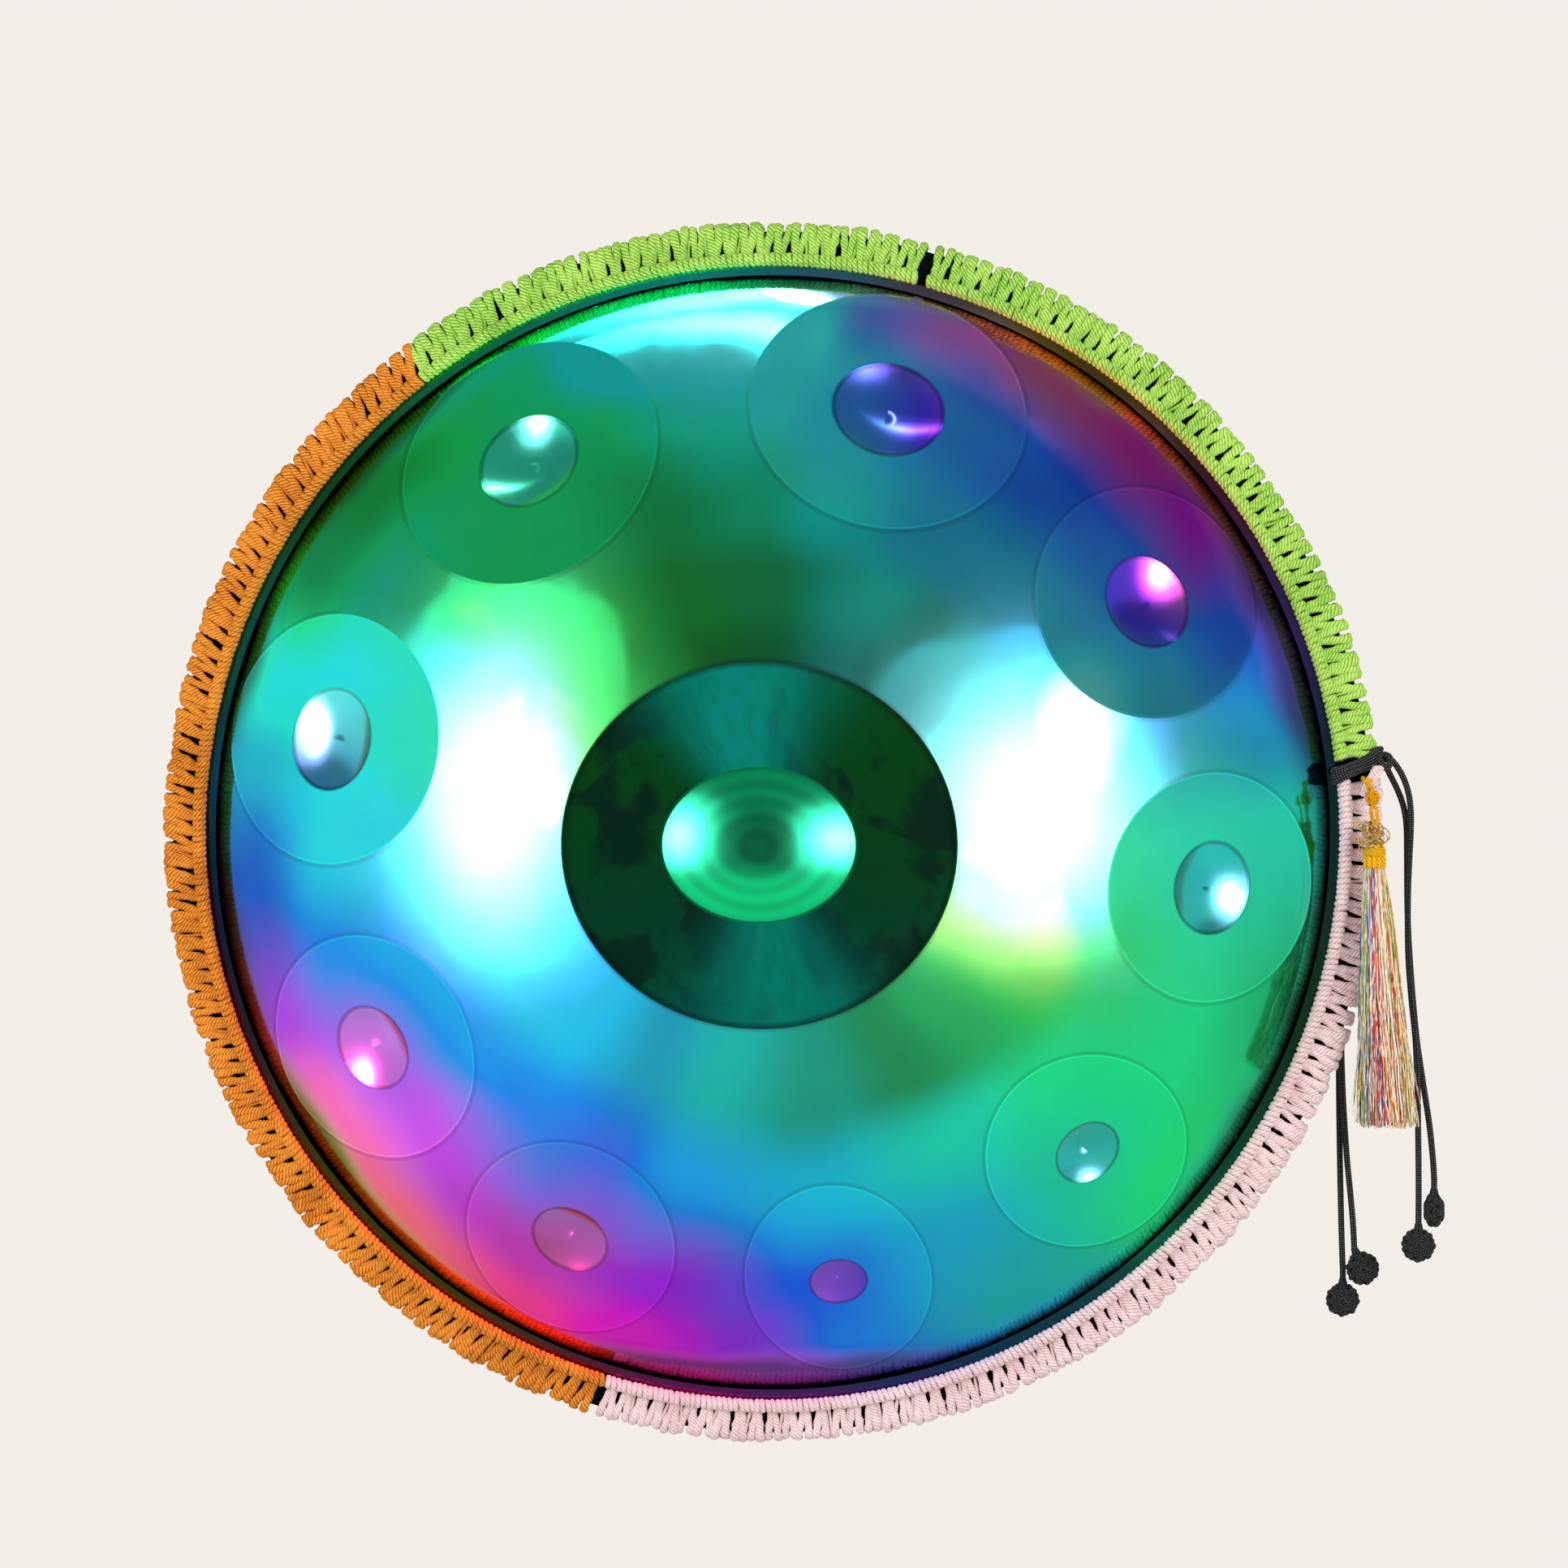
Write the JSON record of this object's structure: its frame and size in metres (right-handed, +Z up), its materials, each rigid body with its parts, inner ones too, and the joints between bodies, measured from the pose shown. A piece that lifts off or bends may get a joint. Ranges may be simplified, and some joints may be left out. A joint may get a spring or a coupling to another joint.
{
  "type": "handpan",
  "caption": "Handpan of two domed steel shells with a dimpled centre note, a ring of tone fields, a gu port, a braided yarn rim cover, hanging knotted cords and a tassel.",
  "frame": {"origin": "on the instrument's axis, where the gu port's straight wall meets its rolled mouth", "axes": "+Y along the axis out of the gu port, away from the player; -Y is the playing side; +Z up as the instrument hangs; +X to the side where the tassel hangs"},
  "size_m": [0.6039, 0.206, 0.5748],
  "materials": {
    "top_steel": "mirror-bright steel with a rainbow interference coat",
    "bottom_steel": "mirror-bright steel with a rainbow interference coat",
    "seam_glue": "cured adhesive",
    "trim_rubber": "smooth black rubber",
    "green_yarn": "soft cotton yarn",
    "orange_yarn": "soft cotton yarn",
    "pink_yarn": "soft cotton yarn",
    "black_cord": "waxed braided cord",
    "yellow_yarn": "twisted rayon yarn",
    "gold_wire": "fine curled gilt thread",
    "tassel_thread": "shiny mixed-colour threads"
  },
  "bodies": {
    "handpan": {"top_shell": "top_steel", "bottom_shell": "bottom_steel", "seam_glue": "seam_glue", "edge_trim": "trim_rubber", "green_left_front_core": "green_yarn", "green_left_back_core": "green_yarn", "green_left_hitches": "green_yarn", "green_right_front_core": "green_yarn", "green_right_back_core": "green_yarn", "green_right_hitches": "green_yarn", "orange_front_core": "orange_yarn", "orange_back_core": "orange_yarn", "orange_hitches": "orange_yarn", "pink_front_core": "pink_yarn", "pink_back_core": "pink_yarn", "pink_hitches": "pink_yarn", "lashing": "black_cord", "tassel_tie": "yellow_yarn"},
    "tassel_hanger": {"tassel_cord": "yellow_yarn"},
    "tassel_head": {"tassel_wire": "gold_wire", "tassel_cap": "yellow_yarn", "tassel_skirt": "tassel_thread"},
    "front_cords": {"front_cord_outer": "black_cord", "front_cord_inner": "black_cord", "front_knot_outer": "black_cord", "front_knot_inner": "black_cord"},
    "back_cords": {"back_cord_long": "black_cord", "back_cord_short": "black_cord", "back_knot_long": "black_cord", "back_knot_short": "black_cord"}
  },
  "joints": [
    {"name": "tassel_sway", "type": "hinge", "parent": "handpan", "child": "tassel_hanger", "pos_m": [0.278, -0.1075, 0.0265], "axis": [0, -1, 0], "range_deg": [0, 70]},
    {"name": "tassel_lift", "type": "hinge", "parent": "tassel_hanger", "child": "tassel_head", "pos_m": [0.2815, -0.1075, 0.008], "axis": [-1, 0, 0], "range_deg": [0, 70]},
    {"name": "front_cords_swing", "type": "hinge", "parent": "handpan", "child": "front_cords", "pos_m": [0.288, -0.095, 0.038], "axis": [1, 0, 0], "range_deg": [0, 45]},
    {"name": "back_cords_swing", "type": "hinge", "parent": "handpan", "child": "back_cords", "pos_m": [0.27, -0.0812, 0.0376], "axis": [1, 0, 0], "range_deg": [0, 45]}
  ]
}
